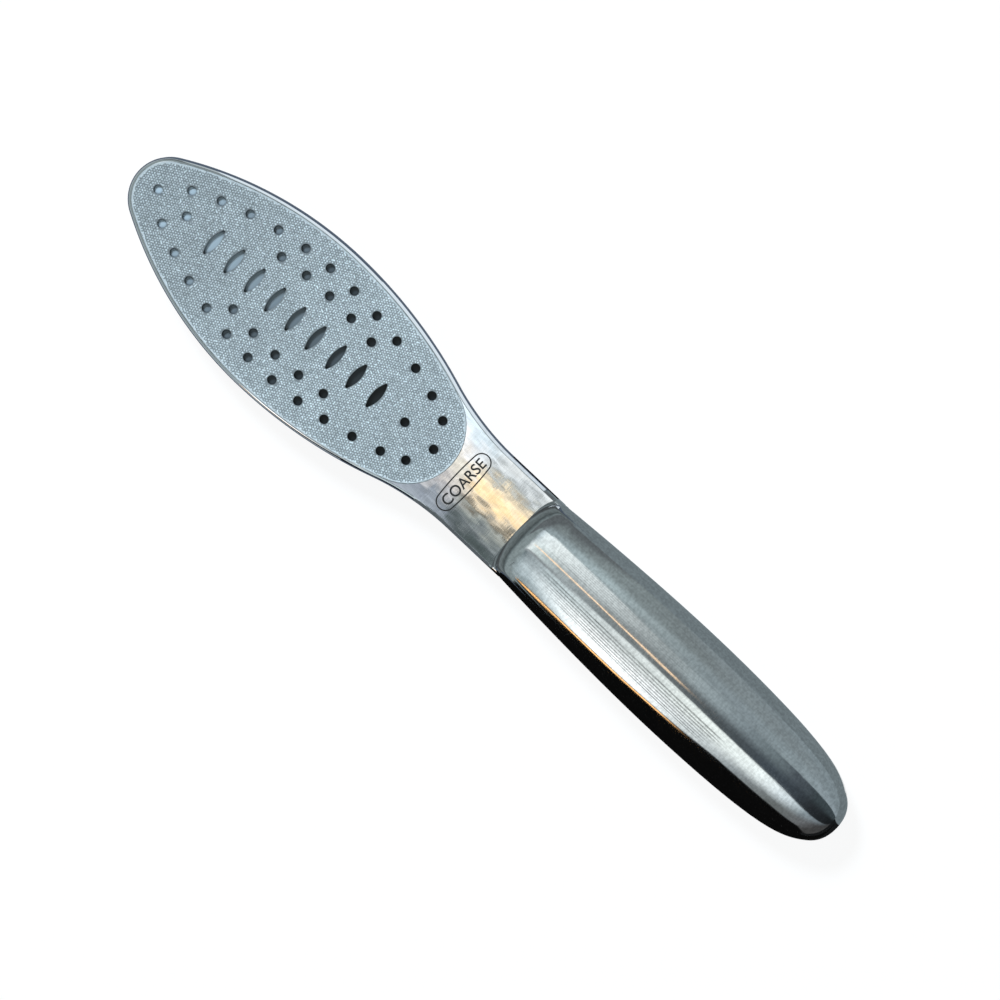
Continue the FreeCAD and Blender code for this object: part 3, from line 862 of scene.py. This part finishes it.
UPPER_MIDDLE_COLOURS = (
    (-11, SHADE), (-7.5, (0.55, 0.64, 0.68)), (-5, (0.82, 0.95, 1.00)), (-3.7, (1.30, 1.40, 1.40)),
    (-2.8, (1.05, 1.14, 1.15)), (-1.5, (0.93, 1.02, 1.03)), (0, (0.60, 0.66, 0.67)),
    (1.2, (0.45, 0.51, 0.52)), (4.5, (0.42, 0.50, 0.53)), (7.5, (0.28, 0.34, 0.37)),
    (11, (0.20, 0.25, 0.27)), (16, (0.09, 0.11, 0.13)), (30, (0.06, 0.08, 0.09)),
)
LOWER_MIDDLE_COLOURS = (
    (-11, SHADE), (-7.5, (0.70, 0.78, 0.80)), (-5, (1.20, 1.30, 1.30)), (-3.6, (0.75, 0.88, 0.88)),
    (-2.8, (0.47, 0.53, 0.55)), (-1.5, (0.30, 0.34, 0.35)), (1, (0.24, 0.27, 0.28)),
    (5, (0.11, 0.13, 0.14)), (11, (0.07, 0.09, 0.11)), (30, (0.03, 0.036, 0.042)),
    (60, (0.015, 0.018, 0.02)),
)
UPPER_BRIGHT_COLOURS = (
    (-9, SHADE), (-5, (0.19, 0.24, 0.26)), (-3.6, (0.48, 0.55, 0.58)), (-2.8, (0.76, 0.89, 0.92)),
    (-1.7, (0.92, 1.02, 1.03)), (0, (0.90, 0.97, 0.97)), (5.3, (1.18, 1.27, 1.23)),
    (11, (1.22, 1.32, 1.32)), (17, (0.94, 1.05, 1.10)), (24, (0.60, 0.69, 0.73)),
    (31, (0.34, 0.41, 0.45)), (48, (0.22, 0.26, 0.29)), (70, (0.05, 0.06, 0.07)),
)
LOWER_BRIGHT_COLOURS = (
    (-9.5, SHADE), (-4.8, (0.45, 0.54, 0.57)), (-3.9, (0.72, 0.85, 0.90)), (-3, (1.32, 1.43, 1.46)),
    (-1.7, (1.65, 1.70, 1.70)), (3, (1.54, 1.60, 1.62)), (6, (0.98, 1.06, 1.07)),
    (10.5, (0.41, 0.46, 0.48)), (13, (0.27, 0.30, 0.31)), (19, (0.18, 0.20, 0.20)),
    (40, (0.18, 0.19, 0.20)), (55, (0.075, 0.075, 0.075)),
)
BLACK_COLOURS = ((-12.5, SHADE), (-10.5, BLACK))
MIDDLE_EDGE = ((-14, -34), (-5.5, -23.7), (-2.7, -18.9), (1.1, -14.7), (11, -14.6), (60, -20))
BRIGHT_EDGE = ((-9, 15.5), (-4.7, 13.4), (-1.7, 12.2), (1.2, 10.2), (12, 12.0), (35, 17.6), (70, 25))
BLACK_EDGE = (
    (-12, 70), (-4.3, 59.2), (2, 54), (7.3, 47), (9.2, 42.4), (20, 43.8), (47, 52.5), (90, 89),
)
BANDS = (
    # edge, softness, colours
    (MIDDLE_EDGE, 0.7, UPPER_MIDDLE_COLOURS),
    (((-90, -1), (90, -1)), 7.0, LOWER_MIDDLE_COLOURS),
    (BRIGHT_EDGE, 0.9, UPPER_BRIGHT_COLOURS),
    (((-90, 27), (90, 27)), 9.0, LOWER_BRIGHT_COLOURS),
    (BLACK_EDGE, 1.2, BLACK_COLOURS),
)
SOFT_GREY_SPAN, SOFT_GREY_SOFTNESS = (-34, -12), 9
LINES = (
    # course, half width, softness, where along it starts and ends, softness, colour
    (((-6, 3.6), (2, 4.4), (10, 5.2)), 0.7, 0.35, (-4.2, 3.2), 0.9, (1.75, 1.25, 0.82)),
    (((-9, 15), (-4.7, 13.4), (0, 12)), 1.5, 0.8, (-9, -2.2), 1.0, (0.36, 0.40, 0.42)),
    (((-12, 73.2), (-4.3, 62.6), (2, 57.4), (7.3, 50.4)), 1.5, 0.8, (-9, 6.5), 1.5, (2.30, 1.25, 0.48)),
)
# Louvres between the panels: fine dark lines, by their step and by where they lie.
LOUVRES = (
    # step, across from and to, softness, along from and to, softness, share, colour
    (3.5, (16, 42), 1.5, (-3.0, 7), 0.3, 0.8, (0.10, 0.11, 0.11)),
    (2.6, (-21, 0), 2.0, (-3.2, 3), 0.5, 0.6, (0.22, 0.24, 0.25)),
)


def along_ramp(tree, along, stops):
    """Colour that runs along the sky."""
    return ramp(tree, along, -90, 90, stops)


def edge_angle(tree, along, points):
    """Angle across of a line through points, at an angle along."""
    angle = points[0][1]
    for (start, before), (end, after) in zip(points, points[1:]):
        step = remap(tree, along, start, end, 0.0, after - before, smooth=False)
        angle = calculate(tree, "ADD", angle, step)
    return angle


def sky_colour(tree, direction, bands=BANDS, lines=LINES):
    """Colour of the studio in a direction."""
    axes = axes_of(tree, direction)
    height = calculate(tree, "MAXIMUM", axes["Z"], 0.0001)
    sideways = product(tree, axes["Y"], -1.0)
    across = calculate(tree, "DEGREES", calculate(tree, "ARCTAN2", sideways, height))
    along = calculate(tree, "DEGREES", calculate(tree, "ARCTAN2", axes["X"], height))
    soft_share = window(tree, across, *SOFT_GREY_SPAN, SOFT_GREY_SOFTNESS)
    soft_grey = along_ramp(tree, along, SOFT_GREY_COLOURS)
    colour = blend_colours(tree, soft_share, along_ramp(tree, along, GREY_COLOURS), soft_grey)
    for edge, soft, stops in bands:
        past = calculate(tree, "SUBTRACT", across, edge_angle(tree, along, edge))
        share = remap(tree, past, -soft, soft)
        colour = blend_colours(tree, share, colour, along_ramp(tree, along, stops))
    for step, across_span, soft, along_span, along_soft, most, tint in LOUVRES:
        wave = calculate(tree, "SINE", product(tree, across, 2 * math.pi / step))
        cover = product(tree, window(tree, across, *across_span, soft),
                        window(tree, along, *along_span, along_soft),
                        remap(tree, wave, 0.0, 0.8, 0.0, most))
        colour = blend_colours(tree, cover, colour, tint)
    for course, half_width, soft, along_span, along_soft, tint in lines:
        past = calculate(tree, "SUBTRACT", across, edge_angle(tree, along, course))
        cover = product(tree, window(tree, past, -half_width, half_width, soft),
                        window(tree, along, *along_span, along_soft))
        colour = blend_colours(tree, cover, colour, tint)
    return colour


def add_world():
    """Studio round the object, with a pale horizon."""
    world = bpy.data.worlds.new("studio")
    bpy.context.scene.world = world
    world.use_nodes = True
    tree = world.node_tree
    background = tree.nodes["Background"]
    direction = add_node(tree, "ShaderNodeTexCoord").outputs["Generated"]
    low = remap(tree, axes_of(tree, direction)["Z"], *HORIZON_SPAN, 1.0, 0.0)
    colour = blend_colours(tree, low, sky_colour(tree, direction), WHITE)
    connect(tree, background, {"Color": colour, "Strength": 1.0})


FLOOR_HALF = 3.0
FLOOR_GLOW, FLOOR_GLOW_SHARE, FLOOR_COLOUR = 1.03, 0.88, (0.9, 0.9, 0.9)
ONE_FACE = ((0, 1, 2, 3),)


def new_stage_mesh(name, corners, faces):
    """Flat part of the studio with an empty material: the object, and the material's node tree."""
    mesh = bpy.data.meshes.new(name)
    mesh.from_pydata(corners, [], faces)
    thing = bpy.data.objects.new(name, mesh)
    bpy.context.scene.collection.objects.link(thing)
    material = bpy.data.materials.new(name)
    material.use_nodes = True
    material.node_tree.nodes.clear()
    mesh.materials.append(material)
    return thing, material.node_tree


def add_floor():
    """Pale floor that fades into the white background and keeps a soft shadow."""
    corners = level_corners((-FLOOR_HALF, -FLOOR_HALF), (FLOOR_HALF, FLOOR_HALF), 0)
    _, tree = new_stage_mesh("floor", corners, ONE_FACE)
    rays = add_node(tree, "ShaderNodeLightPath").outputs
    mirrored = calculate(tree, "MAXIMUM", rays["Is Glossy Ray"], rays["Is Transmission Ray"])
    seen = calculate(tree, "MAXIMUM", rays["Is Camera Ray"], mirrored)
    matte = add_node(tree, "ShaderNodeBsdfDiffuse", {"Color": FLOOR_COLOUR}).outputs[0]
    glow = add_node(tree, "ShaderNodeEmission", {"Color": WHITE, "Strength": FLOOR_GLOW}).outputs[0]
    share = product(tree, seen, FLOOR_GLOW_SHARE)
    mixed = add_node(tree, "ShaderNodeMixShader", {0: share, 1: matte, 2: glow}).outputs[0]
    add_node(tree, "ShaderNodeOutputMaterial", {"Surface": mixed})


def level_corners(low, high, height):
    """Corners of a level rectangle between two opposite corners."""
    return [(*low, height), (high[0], low[1], height), (*high, height), (low[0], high[1], height)]


def upright_corners(start, end, low, high):
    """Corners of an upright rectangle over a line in plan."""
    return [(*start, low), (*end, low), (*end, high), (*start, high)]


def strip_faces(count):
    """Faces of a strip whose first edge has a number of corners and whose second edge has as many."""
    return [(n, n + 1, n + 1 + count, n + count) for n in range(count - 1)]


def reflection_card(name, colour, corners, faces=ONE_FACE):
    """Card that only the steel's reflections show, of one colour or of what a function makes of it."""
    card, tree = new_stage_mesh(name, corners, faces)
    if callable(colour):
        place = add_node(tree, "ShaderNodeTexCoord").outputs["Object"]
        colour = colour(tree, place)
    glow = add_node(tree, "ShaderNodeEmission", {"Color": colour})
    add_node(tree, "ShaderNodeOutputMaterial", {"Surface": glow.outputs[0]})
    card.visible_camera = card.visible_diffuse = False
    card.visible_shadow = card.visible_transmission = False


# Colours of the room as the steel shows it beside and below.
ROOM_BLACK = (0.004, 0.004, 0.004)
ROOM_DARK = (0.012, 0.013, 0.014)
ROOM_GREY = (0.21, 0.255, 0.275)
ROOM_PALE = (0.50, 0.57, 0.60)
ROOM_NAVY = (0.10, 0.13, 0.175)
ROOM_HALF = 0.5
WALL_HEIGHT, PALE_WALL_HEIGHT = 0.115, 0.45
PALE_WALL_END = -0.05
# The wall beyond the butt is dark below a slope, which rises by this much per metre of height.
WEDGE_SLOPE = 0.2126
# Cards beside the head: their stations, how far aside they stand, their feet, sides, tops and colours.
HEAD_CARD_STATIONS, HEAD_CARD_DISTANCE, HEAD_CARD_FOOT = (-0.18, -0.015), 0.13, 0.002
CARD_WHITE = (0.86, 0.96, 1.04)
HEAD_CARDS = {"plus_y": (UP, 0.20, CARD_WHITE), "minus_y": (DOWN, 0.028, ROOM_PALE)}
# Cards beside the neck: courses in plan that follow the flanks and the neck, colours, feet and tops.
NECK_CARDS = {
    "plus_y": (
        ((-0.058, 0.052), (-0.030, 0.040), (-0.012, 0.034), (nose - 0.0015, 0.032)), CARD_WHITE,
    ),
    "minus_y": (((-0.012, -0.032), (nose + 0.0015, -0.032)), (0.12, 0.14, 0.15)),
}
NECK_CARD_FOOT, NECK_CARD_TOP = 0.0005, 0.045
# Mats: their height over the floor, the gaps from nose and butt, and the reach of the nose's mat.
MAT_HEIGHT, MAT_GAP, NOSE_MAT_REACH = 0.4 * MILLIMETRE, 1 * MILLIMETRE, 6 * MILLIMETRE
MAT_CLEARANCE_SHARE = 1.02


def add_walls():
    """Walls round the object, as dark as the room was."""
    far, high, split, rise = ROOM_HALF, WALL_HEIGHT, PALE_WALL_END, WEDGE_SLOPE * WALL_HEIGHT
    walls = {
        "minus_y": (ROOM_BLACK, (split, -far), (far, -far), high),
        "minus_y_head": (ROOM_PALE, (-far, -far), (split, -far), high),
        "plus_y": (ROOM_GREY, (far, far), (split, far), high),
        "plus_y_head": (ROOM_PALE, (split, far), (-far, far), PALE_WALL_HEIGHT),
        "minus_x": (ROOM_PALE, (-far, far), (-far, -far), high),
    }
    for name, (colour, start, end, top) in walls.items():
        reflection_card(f"wall_{name}", colour, upright_corners(start, end, 0, top))
    low_wedge = [(far, -far, 0), (far, 0, 0), (far, rise, high), (far, -far, high)]
    high_wedge = [(far, 0, 0), (far, far, 0), (far, far, high), (far, rise, high)]
    reflection_card("wall_plus_x_low", ROOM_DARK, low_wedge)
    reflection_card("wall_plus_x_high", ROOM_GREY, high_wedge)


def add_head_cards():
    """Cards beside the head, for its rim."""
    for name, (side, top, colour) in HEAD_CARDS.items():
        start, end = ((station, side * HEAD_CARD_DISTANCE) for station in HEAD_CARD_STATIONS)
        corners = upright_corners(start, end, HEAD_CARD_FOOT, top)
        reflection_card(f"card_beside_head_{name}", colour, corners)


def add_neck_cards():
    """Cards that follow the flanks and the neck, for the rim and the nose's corners."""
    for name, (course, colour) in NECK_CARDS.items():
        corners = [(x, y, z) for z in (NECK_CARD_FOOT, NECK_CARD_TOP) for x, y in course]
        reflection_card(f"card_beside_neck_{name}", colour, corners, strip_faces(len(course)))


def add_mats():
    """Mats under the object, as dark as the floor was."""
    far, near = ROOM_HALF, MAT_CLEARANCE_SHARE * shell_high.y
    start, past = nose - MAT_GAP, butt + MAT_GAP
    mats = {
        "head": ((-far, -far), (start, far), ROOM_NAVY),
        "minus_y": ((start, -far), (far, -near), ROOM_BLACK),
        "plus_y": ((start, near), (far, far), ROOM_GREY),
        "nose": ((start, -near), (nose + NOSE_MAT_REACH, near), ROOM_GREY),
        "butt_minus_y": ((past, -near), (far, 0), ROOM_DARK),
        "butt_plus_y": ((past, 0), (far, near), ROOM_GREY),
    }
    for name, (low, high, colour) in mats.items():
        reflection_card(f"mat_{name}", colour, level_corners(low, high, MAT_HEIGHT))


# What the crowned neck mirrors: a card high above it. Its colours run across, by the angle from
# overhead at which the neck sees them, and differ between both sides of the label. A tall blind
# keeps them from the handle's nose and shows it the sky, with dark lines low down.
OVERHEAD_HEIGHT = 0.30
OVERHEAD_CORNERS = ((-0.075, -0.26), (-0.0055, 0.13))
OVERHEAD_ANGLES = (-15, 32)
# Both sides of the label part between these stations, in millimetres. The pattern wanders by this
# many degrees and millimetres.
PARTING = (-35.5, -29.5)
WANDER_ANGLE, WANDER_LENGTH = 36.0, 20.0
NOSE_SIDE_COLOURS = (
    (-15, (1.05, 1.10, 1.10)), (-11, (0.88, 0.94, 0.96)), (-9, (0.38, 0.41, 0.41)),
    (-7, (0.95, 1.00, 0.95)), (-4, (0.52, 0.46, 0.36)), (-2, (1.20, 1.05, 0.78)),
    (3, (1.62, 1.27, 0.82)), (7, (1.62, 1.17, 0.62)), (11.5, (1.25, 1.08, 0.82)),
    (15, (0.18, 0.16, 0.12)), (19, (0.60, 0.63, 0.58)), (23, (0.21, 0.25, 0.25)),
    (25, (0.38, 0.42, 0.43)), (27, (0.17, 0.20, 0.21)), (31, (0.11, 0.14, 0.14)),
)
HEAD_SIDE_COLOURS = (
    (-13, (1.04, 1.20, 1.29)), (-8, (1.30, 1.33, 1.36)), (-3, (1.29, 1.25, 1.19)),
    (5, (1.09, 1.04, 0.90)), (13, (1.08, 1.02, 0.95)), (17, (0.53, 0.52, 0.53)),
    (21, (0.83, 0.84, 0.86)), (25, (0.36, 0.40, 0.44)), (28, (0.32, 0.36, 0.43)),
    (31, (0.48, 0.54, 0.61)),
)
# The blind shows the sky as this point of the nose sees it. Its foot, in millimetres aside, is bowed
# like the nose, and it widens and leans to its top.
NOSE_EYE = Vector((nose + 5.4 * MILLIMETRE, -2.0 * MILLIMETRE, 15.8 * MILLIMETRE))
BLIND_FOOT, BLIND_TOP = 0.0118, 0.275
BLIND_COLUMNS = (0, 3, 6, 8, 9.5, 10.5, 11.3, 12, 12.5, 130)
BLIND_BOW_HALF, BLIND_BOW, BLIND_BOW_POWER = 12.5, 1.9 * MILLIMETRE, 5
BLIND_GAP = 0.4 * MILLIMETRE
BLIND_WIDENING, BLIND_LEAN = 1.94, 0.055
# Lines low on the blind, by their height in millimetres, which fade into the sky.
BLIND_LINES_FADE = (18, 22)
BLIND_LINES = (
    (11.0, (0.10, 0.11, 0.115)),
    (12.6, (0.085, 0.095, 0.10)),
    (13.4, (0.21, 0.25, 0.26)),
    (15.2, (0.15, 0.18, 0.185)),
    (16.6, (0.09, 0.11, 0.115)),
    (18.0, (0.17, 0.21, 0.22)),
    (20.0, (0.28, 0.34, 0.35)),
)


def overhead_colour(tree, place):
    """Colour of the card that the crowned neck mirrors."""
    axes = axes_of(tree, place)
    sideways = product(tree, axes["Y"], -1.0)
    height = OVERHEAD_HEIGHT - head_high.z
    angle = calculate(tree, "DEGREES", calculate(tree, "ARCTAN2", sideways, height))
    station = product(tree, axes["X"], 1 / MILLIMETRE)
    grid = add_node(tree, "ShaderNodeCombineXYZ", {0: station, 1: product(tree, angle, 0.8)}).outputs[0]
    wander = calculate(tree, "SUBTRACT", noise(tree, grid, 0.21, 2.5, 0.6), 0.5)
    angle = calculate(tree, "MULTIPLY_ADD", wander, WANDER_ANGLE, angle)
    station = calculate(tree, "MULTIPLY_ADD", wander, WANDER_LENGTH, station)
    head_side = ramp(tree, angle, *OVERHEAD_ANGLES, HEAD_SIDE_COLOURS)
    nose_side = ramp(tree, angle, *OVERHEAD_ANGLES, NOSE_SIDE_COLOURS)
    colour = blend_colours(tree, remap(tree, station, *PARTING), head_side, nose_side)
    patch = remap(tree, noise(tree, grid, 0.5, 3.0, 0.6), 0.35, 0.65, 0.78, 1.20)
    return tinted(tree, colour, patch)


def blind_corners():
    """Foot and top of the leaning blind, from side to side."""
    foot = []
    for aside in [-column for column in BLIND_COLUMNS[:0:-1]] + list(BLIND_COLUMNS):
        bow = BLIND_BOW * min(1, abs(aside) / BLIND_BOW_HALF) ** BLIND_BOW_POWER
        foot.append((nose + BLIND_GAP + bow, aside * MILLIMETRE, BLIND_FOOT))
    lean = BLIND_LEAN * (BLIND_TOP - BLIND_FOOT)
    return foot + [(x - lean, y * BLIND_WIDENING, BLIND_TOP) for x, y, _ in foot]


def blind_colour(tree, place):
    """Lines low on the blind, and over them the sky."""
    height = product(tree, axes_of(tree, place)["Z"], 1 / MILLIMETRE)
    direction = add_node(tree, "ShaderNodeVectorMath", {0: place, 1: NOSE_EYE}, operation="SUBTRACT")
    lines = ramp(tree, height, BLIND_LINES[0][0], BLIND_LINES[-1][0], BLIND_LINES)
    sky = sky_colour(tree, direction.outputs[0], BANDS[:-1], LINES[:2])
    return blend_colours(tree, remap(tree, height, *BLIND_LINES_FADE), lines, sky)


LAMP_TARGET, LAMP_DISTANCE = Vector((-0.07, 0, 0)), 4.0
LAMP_DIRECTION = Vector((-0.62, 0.33, 0.71)).normalized()
LAMP_SIZE, LAMP_POWER, LAMP_COLOUR = 1.0, 184, (0.80, 0.90, 1.0)


def add_lamp():
    """Soft cool lamp beyond the tip, on the +Y side, which the steel doesn't mirror."""
    data = bpy.data.lights.new("tip_lamp", "AREA")
    data.shape = "DISK"
    data.size = LAMP_SIZE
    data.energy = LAMP_POWER
    data.color = LAMP_COLOUR
    lamp = bpy.data.objects.new("tip_lamp", data)
    bpy.context.scene.collection.objects.link(lamp)
    turn = LAMP_DIRECTION.to_track_quat("Z", "Y").to_matrix().to_4x4()
    lamp.matrix_world = Matrix.Translation(LAMP_TARGET + LAMP_DIRECTION * LAMP_DISTANCE) @ turn
    lamp.visible_glossy = False


def dress_all():
    """Materials of the pieces that stay as they are, and the new pieces with theirs."""
    steel, satin, ink = polished_steel(), brushed_steel(), marking()
    dress(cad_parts["head_blank"], steel)
    film = resin("bond_film_finish", FILM_COLOUR, 900)
    for node in ("coarse_bond_film", "fine_bond_film"):
        dress(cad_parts[node], film)
    dress(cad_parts["tang_cement"], resin("cement_finish", CEMENT_COLOUR, 400))

    coarse_top, fine_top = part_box("coarse_plate")[1].z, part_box("fine_plate")[0].z
    coarse = toothed_steel("coarse_teeth_finish", COARSE_COLOUR, coarse_top, COARSE_DEPTH, UP)
    fine = toothed_steel("fine_teeth_finish", FINE_COLOUR, fine_top, FINE_DEPTH, DOWN)
    toothed_plate(
        "coarse_toothed_plate", "coarse_plate", UP, COARSE_SPACING, COARSE_DEPTH, coarse
    )
    toothed_plate(
        "fine_toothed_plate", "fine_plate", DOWN, FINE_SPACING, FINE_DEPTH, fine
    )
    head_rim(steel)
    surface = blank_surface()
    handle_skin("handle_front_skin", "handle_front_shell", UP, surface, satin)
    handle_skin("handle_back_skin", "handle_back_shell", DOWN, surface, satin)
    build_label("COARSE", UP, surface, ink)
    build_label("FINE", DOWN, surface, ink)


bpy.context.scene.view_settings.view_transform = "Standard"
add_camera()
add_world()
add_floor()
add_walls()
add_head_cards()
add_neck_cards()
add_mats()
reflection_card("neck_card", overhead_colour, level_corners(*OVERHEAD_CORNERS, OVERHEAD_HEIGHT))
reflection_card("nose_blind", blind_colour, blind_corners(), strip_faces(2 * len(BLIND_COLUMNS) - 1))
add_lamp()
dress_all()
